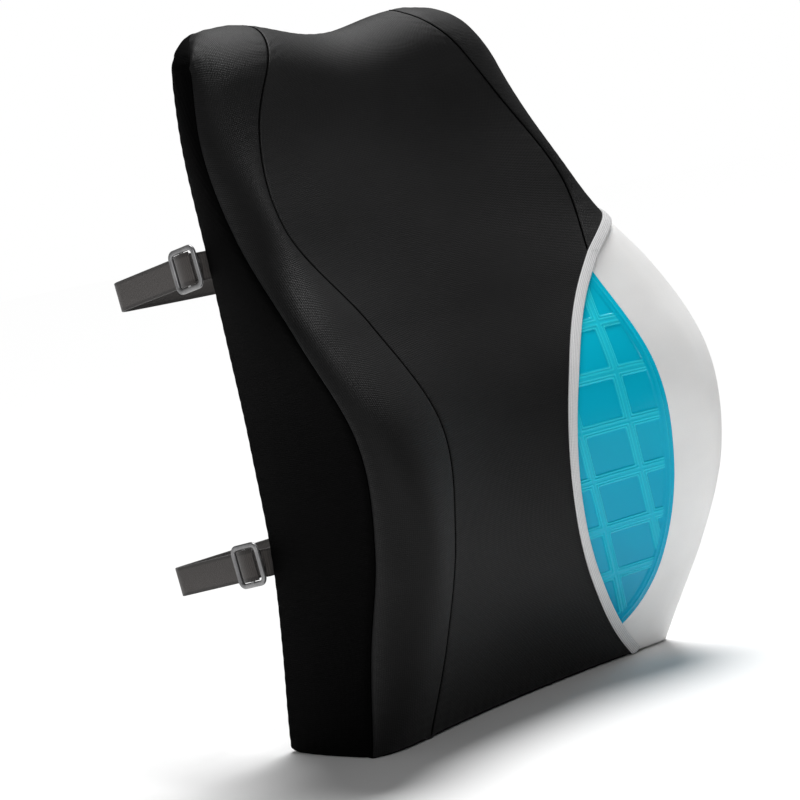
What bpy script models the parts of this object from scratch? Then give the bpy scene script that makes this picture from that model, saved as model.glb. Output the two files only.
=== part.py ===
"""Contoured lumbar support cushion with a cutaway window, two adjustable straps and a zipped cover.

Metres, +Z up. The cushion stands on its flat base, with the origin on the base, and its flat back
faces +Y. The person leans on the front, which faces -Y. Each shape is drawn with the back on the
plane y = 0, and the last step moves them all back by BACK_Y. Every soft layer is one shape drawn at a different inset, so the
layers nest with an even gap: cover outside, then the liner, then the foam with the gel pad let in.
"""

import math

import bmesh
import bpy
import numpy as np
from mathutils import Matrix, Vector

# ---------------------------------------------------------------- driving dimensions
HEIGHT = 0.425
BACK_Y = 0.040  # the flat back stands this far behind the origin
STATION_STEP = 0.060  # the section stations stand this far apart, from the base up

# Millimetres, one value per station from the base to the top.
BACK_HALF = (127, 118, 112, 112, 114, 116, 118, 113)
CREASE_HALF = (132, 138, 144, 149, 150, 137, 131, 113)
CREASE_DEPTH = (78, 99, 125, 133, 102, 51, 31, 25)
SEAM_HALF = (92, 102, 98, 88, 98, 119, 101, 62)
SEAM_DEPTH = (85, 124, 142, 137, 107, 76, 51, 42)
WING_BULGE = (6, 16, 27, 26, 20, 9, 1, 0)
CENTRE_DIP = (6, 10, 12, 12, 10, 8, 7, 6)

CORNER = 0.022  # rounding of the two top corners
NECK_DIP = 0.010  # the top edge sinks this far in the middle
NECK_HALF = 0.075
SHOULDER_FALL = 0.003
ROLL = 0.020  # the front rolls back over this height at the top
TOP_STRIP = 0.014  # width of the strip that closes the top
SIDE_PUFF = 0.003  # the side strips stand out this far at mid depth

COVER = 0.0018  # fabric thicknesses and the gap between any two layers
LINER = 0.0010
GAP = 0.0004
LINER_INSET = COVER + GAP
FOAM_INSET = LINER_INSET + LINER + 3 * GAP

GEL_HALF_WIDTH = 0.104
GEL_HALF_HEIGHT = 0.150
GEL_CENTRE_Z = 0.162
GEL_SQUARENESS = 5.0
GEL_THICK = 0.008

WINDOW_APEX = 0.015  # the cut edge is a parabola: its leftmost point, the height of it, its steepness
WINDOW_Z = 0.120
WINDOW_STEEPNESS = 5.3
WINDOW_BACK = 0.012  # the cut stops this far in front of the back panel
BAND_WIDTH = 0.0065
BAND_PROUD = 0.0012
BAND_CLEAR = 0.0014

SEAM_GAP = 0.0014
THREAD = 0.0008

ZIP_Z = 0.046
ZIP_HALF_LENGTH = 0.098
TAPE_WIDTH = 0.0125
TAPE_THICK = 0.0006
CHAIN_HALF = 0.0024
CHAIN_TOP = 0.0006

UPPER_STRAP_Z = 0.289
LOWER_STRAP_Z = 0.111
WEB_WIDTH = 0.018
WEB_THICK = 0.0016
LEG_OUTBOARD = 0.0045  # the strap's legs stand this far outside the back edge
STRAP_REACH = 0.089
STRAP_DROOP = math.radians(7.3)
STRAP_HINGE_Y = 0.0095
STRAP_CORNER = 0.010
SLIDER_START = 0.0005  # the buckle rests with its near end this far in front of the back panel
TAB_HEIGHT = 0.013  # the sewn-down ends are narrower than the webbing, which leaves the slider room
END_TURNS = tuple(math.radians(a) for a in (80, 60, 40, 20, 0))

COLUMNS = (0.0, 0.34, 0.67, 1.0, 1.22, 1.45, 1.68, 1.86, 2.0)
ROWS = 17
MM = 0.001


# ---------------------------------------------------------------- scene and materials
for old in list(bpy.data.objects):
    bpy.data.objects.remove(old, do_unlink=True)


def material(name, color, roughness, metallic=0.0):
    made = bpy.data.materials.new(name)
    made.use_nodes = True
    shader = made.node_tree.nodes["Principled BSDF"]
    shader.inputs["Base Color"].default_value = (*color, 1.0)
    shader.inputs["Roughness"].default_value = roughness
    shader.inputs["Metallic"].default_value = metallic
    return made


BLACK_CLOTH = material("black_cloth", (0.012, 0.012, 0.013), 0.85)
BLACK_MESH = material("black_mesh", (0.016, 0.016, 0.017), 0.9)
WHITE_CLOTH = material("white_cloth", (0.72, 0.72, 0.71), 0.85)
FOAM = material("foam", (0.82, 0.81, 0.79), 0.8)
GEL = material("gel", (0.01, 0.42, 0.62), 0.2)
THREAD_BLACK = material("thread", (0.01, 0.01, 0.01), 0.7)
WEBBING = material("webbing", (0.05, 0.045, 0.043), 0.85)
BUCKLE = material("buckle", (0.20, 0.20, 0.21), 0.35, 0.6)
ZIP_CLOTH = material("zip_cloth", (0.015, 0.015, 0.015), 0.8)
ZIP_PLASTIC = material("zip_plastic", (0.02, 0.02, 0.02), 0.4)
ZIP_METAL = material("zip_metal", (0.08, 0.08, 0.085), 0.35, 0.8)


# ---------------------------------------------------------------- mesh helpers
def mesh_object(name, points, faces, surface, helper=False):
    mesh = bpy.data.meshes.new(name)
    mesh.from_pydata([tuple(p) for p in points], [], faces)
    shell = bmesh.new()
    shell.from_mesh(mesh)
    bmesh.ops.remove_doubles(shell, verts=shell.verts, dist=1e-6)
    bmesh.ops.recalc_face_normals(shell, faces=shell.faces)
    shell.to_mesh(mesh)
    shell.free()
    made = bpy.data.objects.new(name, mesh)
    bpy.context.scene.collection.objects.link(made)
    if surface:
        mesh.materials.append(surface)
    if helper:
        made.hide_render = True
        made.display_type = "WIRE"
    return made


def between(name, outer, inner, surface, helper=False):
    """A closed solid between two grids of points of the same shape."""
    rows, cols = outer.shape[:2]
    points = np.concatenate([outer.reshape(-1, 3), inner.reshape(-1, 3)])
    deep = rows * cols
    faces = []
    for i in range(rows - 1):
        for j in range(cols - 1):
            a, b, c, d = (i * cols + j, i * cols + j + 1, (i + 1) * cols + j + 1, (i + 1) * cols + j)
            faces += [(a, b, c), (a, c, d)]
            faces += [(c + deep, b + deep, a + deep), (d + deep, c + deep, a + deep)]
    rim = [i * cols for i in range(rows)]
    rim += [(rows - 1) * cols + j for j in range(1, cols)]
    rim += [i * cols + cols - 1 for i in range(rows - 2, -1, -1)]
    rim += list(range(cols - 2, 0, -1))
    for a, b in zip(rim, rim[1:] + rim[:1]):
        faces.append((b, a, a + deep, b + deep))
    return mesh_object(name, points, faces, surface, helper)


def extruded(name, outline, along, low, high, surface, helper=False):
    """A prism: outline holds pairs, for the two axes other than `along`, in X, Y, Z order."""
    axis = "XYZ".index(along)
    rings = []
    for level in (low, high):
        rings += [np.insert(np.array(pair, float), axis, level) for pair in outline]
    n = len(outline)
    faces = [tuple(range(n)), tuple(range(2 * n - 1, n - 1, -1))]
    faces += [(k, (k + 1) % n, (k + 1) % n + n, k + n) for k in range(n)]
    return mesh_object(name, rings, faces, surface, helper)


def box(name, low, high, surface, helper=False):
    outline = [(low[0], low[1]), (high[0], low[1]), (high[0], high[1]), (low[0], high[1])]
    return extruded(name, outline, "Z", low[2], high[2], surface, helper)


def boolean(target, other, operation):
    cut = target.modifiers.new(operation.lower() + "_" + other.name, "BOOLEAN")
    cut.operation = operation
    cut.object = other
    cut.solver = "EXACT"


def set_origin(target, point):
    """Puts the object's origin at point and leaves its shape where it is."""
    target.data.transform(Matrix.Translation(point).inverted())
    target.location = point


def chamfer(target, width):
    edge = target.modifiers.new("edges", "BEVEL")
    edge.width = width
    edge.segments = 1
    edge.limit_method = "ANGLE"
    edge.angle_limit = math.radians(50)


# ---------------------------------------------------------------- the cushion's shape
def station(values, z):
    """A smooth curve through the stations' values, in metres."""
    v = np.asarray(values, float) * MM
    slope = np.gradient(v)
    q = np.clip(np.asarray(z, float) / STATION_STEP, 0, len(v) - 1.0001)
    i = q.astype(int)
    t = q - i
    start, end = v[i], v[i + 1]
    return (
        (2 * t**3 - 3 * t**2 + 1) * start
        + (t**3 - 2 * t**2 + t) * slope[i]
        + (3 * t**2 - 2 * t**3) * end
        + (t**3 - t**2) * slope[i + 1]
    )


def top_height(x, half):
    """Height of the top edge above x, on an outline that is `half` wide at the corners."""
    x = np.abs(x)
    dip = NECK_DIP * 0.5 * (1 + np.cos(np.pi * np.clip(x / NECK_HALF, 0, 1)))
    fall = SHOULDER_FALL * np.clip((x - NECK_HALF) / (half - NECK_HALF), 0, 1)
    corner = np.clip((x - (half - CORNER)) / CORNER, 0, 1)
    return HEIGHT - dip - fall - CORNER * (1 - np.sqrt(1 - corner**2))


def quadratic(a, b, c, t):
    return (1 - t) ** 2 * a + 2 * t * (1 - t) * b + t * t * c


def front_point(col, v, inset):
    """On the front. |col| runs 0 to 1 over the centre panel and 1 to 2 over a wing; v runs up."""
    side, a = np.sign(col), np.abs(col)
    z = v * HEIGHT
    for _ in range(8):
        seam, crease = station(SEAM_HALF, z), station(CREASE_HALF, z) - inset
        seam_y, crease_y = station(SEAM_DEPTH, z), station(CREASE_DEPTH, z)
        swell_x = crease - 0.1 * (crease - seam)
        swell_y = np.maximum(seam_y, crease_y) + station(WING_BULGE, z)
        t = 1 - np.clip(a - 1, 0, 1)
        c = np.clip(a, 0, 1)
        x = np.where(a <= 1, c * seam, quadratic(crease, swell_x, seam, t))
        dish = seam_y - station(CENTRE_DIP, z) * (1 - c * c)
        y = np.where(a <= 1, dish, quadratic(crease_y, swell_y, seam_y, t))
        top = top_height(x, crease) - inset
        z = inset + v * (top - inset)
    k = np.clip((z - (top - ROLL)) / ROLL, 0, 1)
    y = TOP_STRIP + (y - TOP_STRIP) * np.sqrt(np.clip(1 - k * k, 0, 1))
    return np.stack([side * x, inset - y, z], -1)


def back_point(col, v, inset):
    side, a = np.sign(col), np.abs(col)
    z = v * HEIGHT
    for _ in range(8):
        half = station(BACK_HALF, z) - inset
        x = half * a / 2
        top = top_height(x, half) - inset
        z = inset + v * (top - inset)
    return np.stack([side * x, np.full_like(x, -inset), z], -1)


def solid_point(col, v, w, inset):
    """w runs from the front, 0, to the back, 1."""
    col, v, w = (np.asarray(k, float) for k in np.broadcast_arrays(col, v, w))
    point = front_point(col, v, inset) * (1 - w)[..., None] + back_point(col, v, inset) * w[..., None]
    puff = SIDE_PUFF * 4 * w * (1 - w) * (np.abs(col) / 2) ** 8
    point[..., 0] += np.sign(col) * puff
    return point


def columns(low, high):
    """The grid's columns from low to high, with those two as its ends."""
    every = sorted({-c for c in COLUMNS} | set(COLUMNS))
    inside = [c for c in every if low + 0.05 < c < high - 0.05]
    return np.array([low, *inside, high])


def rows(low=0.0, high=1.0):
    """The grid's rows, closer together near the top, where the front rolls back."""
    every = 1 - (1 - np.linspace(0, 1, ROWS)) ** 1.25
    inside = [r for r in every if low + 0.004 < r < high - 0.004]
    return np.array([low, *inside, high])


def depth_steps(gap):
    return np.array([gap, 0.25, 0.5, 0.75, 1 - gap])


def shell(name, col, v, w, surface, outer=0.0, inner=COVER):
    return between(
        name, solid_point(col, v, w, outer), solid_point(col, v, w, inner), surface
    )


def body(name, inset, surface, helper=False):
    """The whole cushion's shape at one inset, as a closed solid."""
    col, v, w = columns(-2.0, 2.0), rows(), np.linspace(0, 1, 5)
    faces_of = {
        "front": (col[None, :], v[:, None], 0.0),
        "back": (col[None, :], v[:, None], 1.0),
        "left": (-2.0, v[:, None], w[None, :]),
        "right": (2.0, v[:, None], w[None, :]),
        "base": (col[None, :], 0.0, w[:, None]),
        "top": (col[None, :], 1.0, w[:, None]),
    }
    points, faces = [], []
    for grid in faces_of.values():
        patch = solid_point(*grid, inset)
        start, (m, n) = len(points), patch.shape[:2]
        points += list(patch.reshape(-1, 3))
        for i in range(m - 1):
            for j in range(n - 1):
                a = start + i * n + j
                faces += [(a, a + 1, a + n + 1), (a, a + n + 1, a + n)]
    return mesh_object(name, points, faces, surface, helper)


# ---------------------------------------------------------------- cutters
def window_x(z):
    return WINDOW_APEX + WINDOW_STEEPNESS * (z - WINDOW_Z) ** 2


def window_cutter(name, shift, back):
    """Everything on the cushion's left-hand side, as worn, beyond the parabola."""
    heights = np.linspace(-0.02, 0.30, 33)
    outline = [(window_x(z) + shift, z) for z in heights]
    outline += [(0.22, heights[-1]), (0.22, heights[0])]
    return extruded(name, outline, "Y", -0.25, -back, None, True)


def gel_outline(grow):
    outline = []
    for turn in np.linspace(0, 2 * math.pi, 48, endpoint=False):
        c, s = math.cos(turn), math.sin(turn)
        reach = (abs(c) ** GEL_SQUARENESS + abs(s) ** GEL_SQUARENESS) ** (-1 / GEL_SQUARENESS)
        x = (GEL_HALF_WIDTH + grow) * c * reach
        z = GEL_CENTRE_Z + (GEL_HALF_HEIGHT + grow) * s * reach
        outline.append((x, z))
    return outline


def front_slab(name, outer, inner, surface, helper):
    col, v = columns(-2.0, 2.0)[None, :], rows()[:, None]
    return between(name, front_point_flat(col, v, outer), front_point_flat(col, v, inner), surface, helper)


def front_point_flat(col, v, shift):
    """The foam's front, moved straight back by shift."""
    col, v = np.broadcast_arrays(col, v)
    point = front_point(col.astype(float), v.astype(float), FOAM_INSET)
    point[..., 1] += shift
    return point


# ---------------------------------------------------------------- foam, gel and liner
def make_core():
    foam = body("foam_core", FOAM_INSET, FOAM)
    pocket = front_slab("pocket", -0.02, GEL_THICK + GAP, None, True)
    boolean(pocket, extruded("pocket_edge", gel_outline(GAP), "Y", -0.3, 0.0, None, True), "INTERSECT")
    boolean(foam, pocket, "DIFFERENCE")
    gel = front_slab("gel_pad", 0.0, GEL_THICK, GEL, False)
    boolean(gel, extruded("gel_edge", gel_outline(0.0), "Y", -0.3, 0.0, None, True), "INTERSECT")


def make_liner(window):
    liner = body("inner_liner", LINER_INSET, WHITE_CLOTH)
    boolean(liner, body("liner_inside", LINER_INSET + LINER, None, True), "DIFFERENCE")
    boolean(liner, window, "DIFFERENCE")


# ---------------------------------------------------------------- cover
def seam_step(v, gap):
    """How far in column numbers a gap in metres is, on the centre panel and on a wing."""
    z = v * HEIGHT
    seam = station(SEAM_HALF, z)
    return gap / seam, gap / (station(CREASE_HALF, z) - seam)


def make_front_panels(window):
    v = rows()[:, None]
    inward, outward = seam_step(v, SEAM_GAP / 2)
    middle = columns(-1.0, 1.0)[None, :]
    centre = shell("cover_center_panel", middle * (1 - inward), v, 0.0, BLACK_CLOTH)
    boolean(centre, window, "DIFFERENCE")
    wing = columns(1.0, 2.0)[None, :] - 1
    spans = 1 + outward + wing * (1 - outward - 0.006)
    shell("cover_left_wing_panel", -spans[:, ::-1], v, 0.0, BLACK_CLOTH)
    right = shell("cover_right_wing_panel", spans, v, 0.0, BLACK_CLOTH)
    boolean(right, window, "DIFFERENCE")


def make_strips(window):
    v = rows()[:, None]
    edge = GAP / station(CREASE_DEPTH, v * HEIGHT)
    across = np.linspace(0, 1, 5)[None, :]
    w = edge + across * (1 - 2 * edge)
    shell("cover_left_side_panel", -2.0, v, w, BLACK_CLOTH)
    right = shell("cover_right_side_panel", 2.0, v, w, BLACK_CLOTH)
    boolean(right, window, "DIFFERENCE")
    col = columns(-1.99, 1.99)[None, :]
    shell("cover_top_panel", col, 1.0, depth_steps(0.04)[:, None], BLACK_CLOTH)
    base = shell("cover_bottom_panel", col, 0.0, depth_steps(0.006)[:, None], BLACK_CLOTH)
    boolean(base, window, "DIFFERENCE")


def make_back_panels():
    """The flat back, in two panels with the zip between them."""
    col = columns(-1.99, 1.99)[None, :]
    tops = back_point(col, np.ones_like(col), 0.0)[..., 2]
    edge = TAPE_WIDTH + CHAIN_HALF + GAP
    low, high = (ZIP_Z - edge - COVER) / tops, (ZIP_Z + edge) / tops
    span = rows(0.0, 0.998)[:, None]
    shell("cover_back_lower_panel", col, 0.001 + span[[0, -1]] * low, 1.0, BLACK_CLOTH)
    shell("cover_back_panel", col, high + span * (0.999 - high), 1.0, BLACK_MESH)


def make_seam_threads(window):
    v = rows()[:-1]
    for side, name in ((-1, "left_front_seam"), (1, "right_front_seam")):
        z = v * HEIGHT
        half = (THREAD / 2) / station(SEAM_HALF, z)
        col = side * np.stack([1 - half, 1 + half * 1.6], -1)
        grid = v[:, None]
        thread = shell(name, col, grid, 0.0, THREAD_BLACK, 0.0005, 0.0005 + THREAD)
        if side > 0:
            boolean(thread, window, "DIFFERENCE")


def make_window_band():
    """The rolled white edge that follows the cut across the front."""
    heights = np.linspace(0.002, 0.262, 27)
    outer, inner = [], []
    for z in heights:
        slope = 2 * WINDOW_STEEPNESS * (z - WINDOW_Z)
        normal = np.array([1.0, -slope]) / math.hypot(1.0, slope)
        start = np.array([window_x(z), z]) + normal * GAP
        across = [start + normal * BAND_WIDTH * k for k in (0.0, 0.35, 0.7, 1.0)]
        crown = (0.0, BAND_PROUD, BAND_PROUD, 0.0)
        outer.append([[x, front_y(x, max(h, 0.0005)) - c, max(h, 0.0005)] for (x, h), c in zip(across, crown)])
        floor = FOAM_INSET - BAND_CLEAR
        inner.append([[x, front_y(x, max(h, 0.0005)) + floor, max(h, 0.0005)] for x, h in across])
    between("window_band", np.array(outer), np.array(inner), WHITE_CLOTH)


def front_y(x, z):
    """Depth of the cover's front at x and z, below the top roll."""
    seam, crease = station(SEAM_HALF, z), station(CREASE_HALF, z)
    seam_y, crease_y = station(SEAM_DEPTH, z), station(CREASE_DEPTH, z)
    if x <= seam:
        return -(seam_y - station(CENTRE_DIP, z) * (1 - (x / seam) ** 2))
    share = min(max((crease - x) / (crease - seam), 0.0), 1.0)
    t = (math.sqrt(0.04 + 3.2 * share) - 0.2) / 1.6
    swell = max(seam_y, crease_y) + station(WING_BULGE, z)
    return -quadratic(crease_y, swell, seam_y, t)


# ---------------------------------------------------------------- zip
def make_zip():
    x = ZIP_HALF_LENGTH
    tape_back, tape_front = -0.0006, -0.0006 - TAPE_THICK
    for name, sign in (("zipper_upper_tape", 1), ("zipper_lower_tape", -1)):
        edges = sorted((ZIP_Z + sign * (CHAIN_HALF + GAP), ZIP_Z + sign * (CHAIN_HALF + TAPE_WIDTH)))
        box(name, (-x, tape_front, edges[0]), (x, tape_back, edges[1]), ZIP_CLOTH)
    for name, sign in (("zipper_upper_coil", 1), ("zipper_lower_coil", -1)):
        edges = sorted((ZIP_Z + sign * 0.00015, ZIP_Z + sign * CHAIN_HALF))
        coil = box(name, (-x, tape_front, edges[0]), (x, CHAIN_TOP, edges[1]), ZIP_PLASTIC)
        chamfer(coil, 0.0005)
    for name, sign in (("zipper_top_stop", -1), ("zipper_bottom_stop", 1)):
        ends = sorted((sign * (x + GAP), sign * (x + 0.0045)))
        low, high = ZIP_Z - CHAIN_HALF - 0.001, ZIP_Z + CHAIN_HALF + 0.001
        stop = box(name, (ends[0], tape_front, low), (ends[1], CHAIN_TOP + 0.0006, high), ZIP_METAL)
        chamfer(stop, 0.0004)


def make_zip_slider():
    """A slider over the coils, with an arch that holds the pull's pin."""
    x = -ZIP_HALF_LENGTH + 0.006
    plate, flange, arch = 0.0020, -0.0003, 0.0050
    profile = [
        (flange, -0.0043), (plate, -0.0043), (plate, 0.0043), (flange, 0.0043),
        (flange, 0.0031), (CHAIN_TOP + 0.0004, 0.0031),
        (CHAIN_TOP + 0.0004, -0.0031), (flange, -0.0031),
    ]
    shifted = [(y, ZIP_Z + z) for y, z in profile]
    slider = extruded("zipper_slider_body", shifted, "X", x - 0.0048, x + 0.0048, ZIP_METAL)
    foot = plate - 0.0005
    outer = [(-0.0035, foot), (-0.0035, arch - 0.0012), (-0.0022, arch), (0.0022, arch)]
    outer += [(0.0035, arch - 0.0012), (0.0035, foot)]
    inner = [(0.0023, foot), (0.0023, arch - 0.0011), (-0.0023, arch - 0.0011), (-0.0023, foot)]
    path = [(x + px, py) for px, py in outer + inner]
    bridge = extruded("zipper_bridge", path, "Z", ZIP_Z - 0.0010, ZIP_Z + 0.0010, None, True)
    boolean(slider, bridge, "UNION")
    set_origin(slider, (x, 0, ZIP_Z))

    pin_y = plate + 0.0010
    half, tip, thick = 0.0030, 0.0240, 0.0009
    blade = [(-0.0006, -half), (tip - 0.002, -half), (tip, -half + 0.002), (tip, half - 0.002)]
    blade += [(tip - 0.002, half), (-0.0006, half)]
    placed = [(x + px, ZIP_Z + pz) for px, pz in blade]
    pull = extruded("zipper_pull_tab", placed, "Y", pin_y - thick / 2, pin_y + thick / 2, ZIP_METAL)
    eye = box(
        "zipper_eye", (x + 0.0006, 0, ZIP_Z - 0.0017), (x + 0.0048, 0.01, ZIP_Z + 0.0017), None, True
    )
    boolean(pull, eye, "DIFFERENCE")
    hole = extruded(
        "pull_hole",
        [(x + 0.0195 + 0.0014 * math.cos(a), ZIP_Z + 0.0014 * math.sin(a))
         for a in np.linspace(0, 2 * math.pi, 12, endpoint=False)],
        "Y", 0, 0.01, None, True,
    )
    boolean(pull, hole, "DIFFERENCE")
    set_origin(pull, (x, pin_y, ZIP_Z))


# ---------------------------------------------------------------- straps
def strap_path(leg_x):
    """The strap's centre line seen from above, before it droops. Its ends are rounded off."""
    reach, r = STRAP_REACH, STRAP_CORNER
    path = [(-leg_x, STRAP_HINGE_Y - WEB_WIDTH / 2 * math.sin(a)) for a in END_TURNS]
    path += [(-leg_x, STRAP_HINGE_Y + (reach - r - STRAP_HINGE_Y) * k) for k in (0.5, 1.0)]
    for turn in np.linspace(math.pi, math.pi / 2, 5)[1:]:
        path.append((-leg_x + r + r * math.cos(turn), reach - r + r * math.sin(turn)))
    bow = 0.006
    inner = leg_x - r
    for k in (-0.66, -0.33, 0.0):
        path.append((inner * k, reach + bow * (1 - k * k)))
    return path + [(-px, py) for px, py in reversed(path[:-1])]


def offset_path(path, shift):
    points = [Vector(p) for p in path]
    moved = []
    for k, point in enumerate(points):
        ahead = points[min(k + 1, len(points) - 1)] - points[max(k - 1, 0)]
        normal = Vector((-ahead.y, ahead.x)).normalized()
        moved.append(point + normal * shift)
    return moved


def make_strap(prefix, z):
    half = float(station(BACK_HALF, z))
    leg_x = half + LEG_OUTBOARD
    hinge = Matrix.Translation((0, STRAP_HINGE_Y, z))
    droop = Matrix.Rotation(-STRAP_DROOP, 4, "X")
    path = strap_path(leg_x)
    rounded = [WEB_WIDTH / 2 * math.cos(a) for a in END_TURNS]
    halves = rounded + [WEB_WIDTH / 2] * (len(path) - 2 * len(rounded)) + rounded[::-1]
    outer, inner = (
        np.array([
            [(p.x, p.y - STRAP_HINGE_Y, h) for h in (-half_width, half_width)]
            for p, half_width in zip(offset_path(path, shift), halves)
        ])
        for shift in (WEB_THICK / 2, -WEB_THICK / 2)
    )
    strap = between(prefix + "_strap_webbing", outer, inner, WEBBING)
    strap.matrix_world = hinge @ droop
    for side, sign in (("left", -1), ("right", 1)):
        tab_x = sorted((sign * (half - 0.012), sign * (half + LEG_OUTBOARD - WEB_THICK / 2 - GAP)))
        box(
            prefix + "_strap_" + side + "_tab",
            (tab_x[0], 0.0003, z - TAB_HEIGHT / 2), (tab_x[1], 0.0003 + WEB_THICK, z + TAB_HEIGHT / 2),
            WEBBING,
        )
    make_tri_glide(prefix + "_strap_slider", -leg_x, hinge @ droop)


def make_tri_glide(name, leg_x, place):
    """A frame whose side bars cross outside the webbing while its middle bar crosses inside."""
    long, tall, bar, thick = 0.025, 0.0265, 0.0032, 0.0020
    clear = WEB_THICK / 2 + GAP
    outer_x = leg_x - clear - thick
    start = -STRAP_HINGE_Y - SLIDER_START
    frame = box(name, (outer_x, start, -tall / 2), (outer_x + thick, start + long, tall / 2), BUCKLE)
    half = WEB_WIDTH / 2 + 0.0008
    opening = box(
        name + "_opening", (outer_x - 0.01, start + bar, -half),
        (outer_x + 0.01, start + long - bar, half), None, True,
    )
    opening.matrix_world = place
    chamfer(frame, 0.0006)
    boolean(frame, opening, "DIFFERENCE")
    middle = start + long / 2
    inner_x = leg_x + clear + 0.0012
    outline = [(outer_x + 0.0004, -tall / 2 + 0.0008), (inner_x, -tall / 2 + 0.0008)]
    outline += [(inner_x, tall / 2 - 0.0008), (outer_x + 0.0004, tall / 2 - 0.0008)]
    outline += [(outer_x + 0.0004, half), (leg_x + clear, half)]
    outline += [(leg_x + clear, -half), (outer_x + 0.0004, -half)]
    bridge = extruded(name + "_bridge", outline, "Y", middle - 0.0018, middle + 0.0018, None, True)
    bridge.matrix_world = place
    boolean(frame, bridge, "UNION")
    frame.matrix_world = place


# ---------------------------------------------------------------- assembly
window = window_cutter("window_cut", 0.0, WINDOW_BACK)
make_core()
make_liner(window)
make_front_panels(window)
make_strips(window)
make_back_panels()
make_seam_threads(window)
make_window_band()
make_zip()
make_zip_slider()
make_strap("upper", UPPER_STRAP_Z)
make_strap("lower", LOWER_STRAP_Z)
bpy.context.view_layer.update()
for made in bpy.data.objects:
    made.matrix_world = Matrix.Translation((0, BACK_Y, 0)) @ made.matrix_world
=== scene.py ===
"""Looks of the lumbar support cushion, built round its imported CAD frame.

Metres, +Z up. The front faces -Y and the straps leave the flat back towards +Y. Every soft layer
comes from one surface function, `solid`, drawn at different insets, as in the CAD.
"""

import math

import bpy
import numpy as np
from mathutils import Matrix, Vector


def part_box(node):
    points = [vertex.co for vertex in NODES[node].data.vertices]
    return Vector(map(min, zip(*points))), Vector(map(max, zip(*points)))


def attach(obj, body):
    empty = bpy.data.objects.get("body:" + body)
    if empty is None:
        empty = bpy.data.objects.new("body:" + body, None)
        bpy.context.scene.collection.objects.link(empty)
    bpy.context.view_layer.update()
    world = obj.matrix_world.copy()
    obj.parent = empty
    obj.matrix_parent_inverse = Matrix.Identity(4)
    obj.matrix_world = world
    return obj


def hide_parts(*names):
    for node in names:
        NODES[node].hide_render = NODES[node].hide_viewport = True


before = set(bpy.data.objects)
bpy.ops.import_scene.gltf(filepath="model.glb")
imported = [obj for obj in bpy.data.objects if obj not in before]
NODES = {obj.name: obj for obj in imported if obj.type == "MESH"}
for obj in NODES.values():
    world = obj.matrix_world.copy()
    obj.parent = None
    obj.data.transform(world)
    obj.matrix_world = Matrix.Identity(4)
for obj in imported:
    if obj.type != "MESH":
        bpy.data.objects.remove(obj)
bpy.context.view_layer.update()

# ---- the cushion's dimensions, as in the CAD
HEIGHT = 0.425
BACK_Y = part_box("cover_back_panel")[1].y
STATION_STEP = 0.060
MM = 0.001

# Millimetres, one value per station from the base to the top. Depths count forward from the back.
BACK_HALF = (127, 118, 112, 112, 114, 116, 118, 113)
CREASE_HALF = (132, 138, 144, 149, 150, 135, 130, 113)
CREASE_DEPTH = (78, 99, 125, 133, 102, 51, 31, 25)
SEAM_HALF = (92, 102, 98, 88, 98, 119, 101, 62)
SEAM_DEPTH = (85, 124, 142, 137, 107, 76, 51, 42)
WING_BULGE = (6, 16, 27, 26, 20, 9, 1, 0)
CENTRE_DIP = (6, 10, 12, 12, 10, 8, 7, 6)

CORNER = 0.022  # rounding of the two top corners
NECK_DIP = 0.010  # the top edge sinks this far in the middle
NECK_HALF = 0.075
SHOULDER_FALL = 0.003
ROLL = 0.036  # the front rolls back over this height at the top
TOP_STRIP = 0.001  # the top strip's width over the middle, and how much wider it is at the corners
CORNER_STRIP = 0.021
WING_LEAN = 0.1  # the wing's bulge peaks this share of its width in from the crease
SIDE_PUFF = 0.003
BASE_ROUND = 0.011  # radius where the back meets the base
BACK_ROUND = 0.004  # and where it meets the sides and the top

CLOTH = 0.0011  # thickness of the cover's fabric
LEAST_SHARE = 0.302  # a narrow panel's stated area is never less of its length times its width
LINER_THICK = 0.0004
LINER_INSET = 0.0041
FOAM_INSET = 0.0047
FOAM_SWELL = 0.0035  # the bare foam stands out this far past the cover's line

WINDOW_APEX = 0.015  # the cut edge is a parabola: its leftmost point, the height of it, its steepness
WINDOW_Z = 0.120
WINDOW_STEEPNESS = 5.3
STEEPNESS_ABOVE = 4.9
WINDOW_BACK = 0.012  # the cut stops this far in front of the back panel
BAND_HALF = 0.0034
BAND_CROWN = 0.0014
FLOOR_GAP = 0.0003  # the band's ends stop this far above the floor

# How deep a panel's edge falls into a seam, and over what width.
SEAM_LIP = (0.0011, 0.0019)
WING_LIP = (0.0034, 0.0140)
GUSSET_LIP = (0.0034, 0.0090)
HEM_LIP = (0.0014, 0.0040)
TOP_LIP = (0.0005, 0.0020)
JOIN = (0.0, 0.0010)
HEMS = (HEM_LIP,) * 4
CORNER_FADE = 0.007  # a lip fades out over this length towards its ends
PUCKER = 0.00018
RIPPLE = 0.00024
WINDOW_MARGIN = 0.0015  # cover left past the cut edge, under the band
SHARP_ANGLE = math.radians(50)

GEL_HALF_WIDTH = 0.101
GEL_HALF_HEIGHT = 0.150
GEL_CENTRE_Z = 0.162
GEL_SQUARENESS = 5.0
GEL_RECESS = 0.0035  # depth of the foam's hollow under the gel
GEL_THICK = 0.0050
GEL_LIFT = 0.0004  # the gel's face stands this far proud of the foam
CELL_WIDE = 0.0385
CELL_TALL = 0.0303
CELL_X = 0.0725  # a rib crosses another at CELL_X and CELL_Z
CELL_Z = 0.1800
CELL_BEND = 2.6  # the upright ribs bow out by this much per metre squared from BEND_Z
BEND_Z = 0.157
RIB_HALF = 0.0014
LEDGE_HALF = 0.0030
EDGE_LINE = 0.00036  # width of the raised line along each rib and ledge
RIM = 0.0066  # plain border of the gel, with one ridge on it
RIDGE_AT = 0.0044
RIDGE_WIDE = 0.0007

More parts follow.
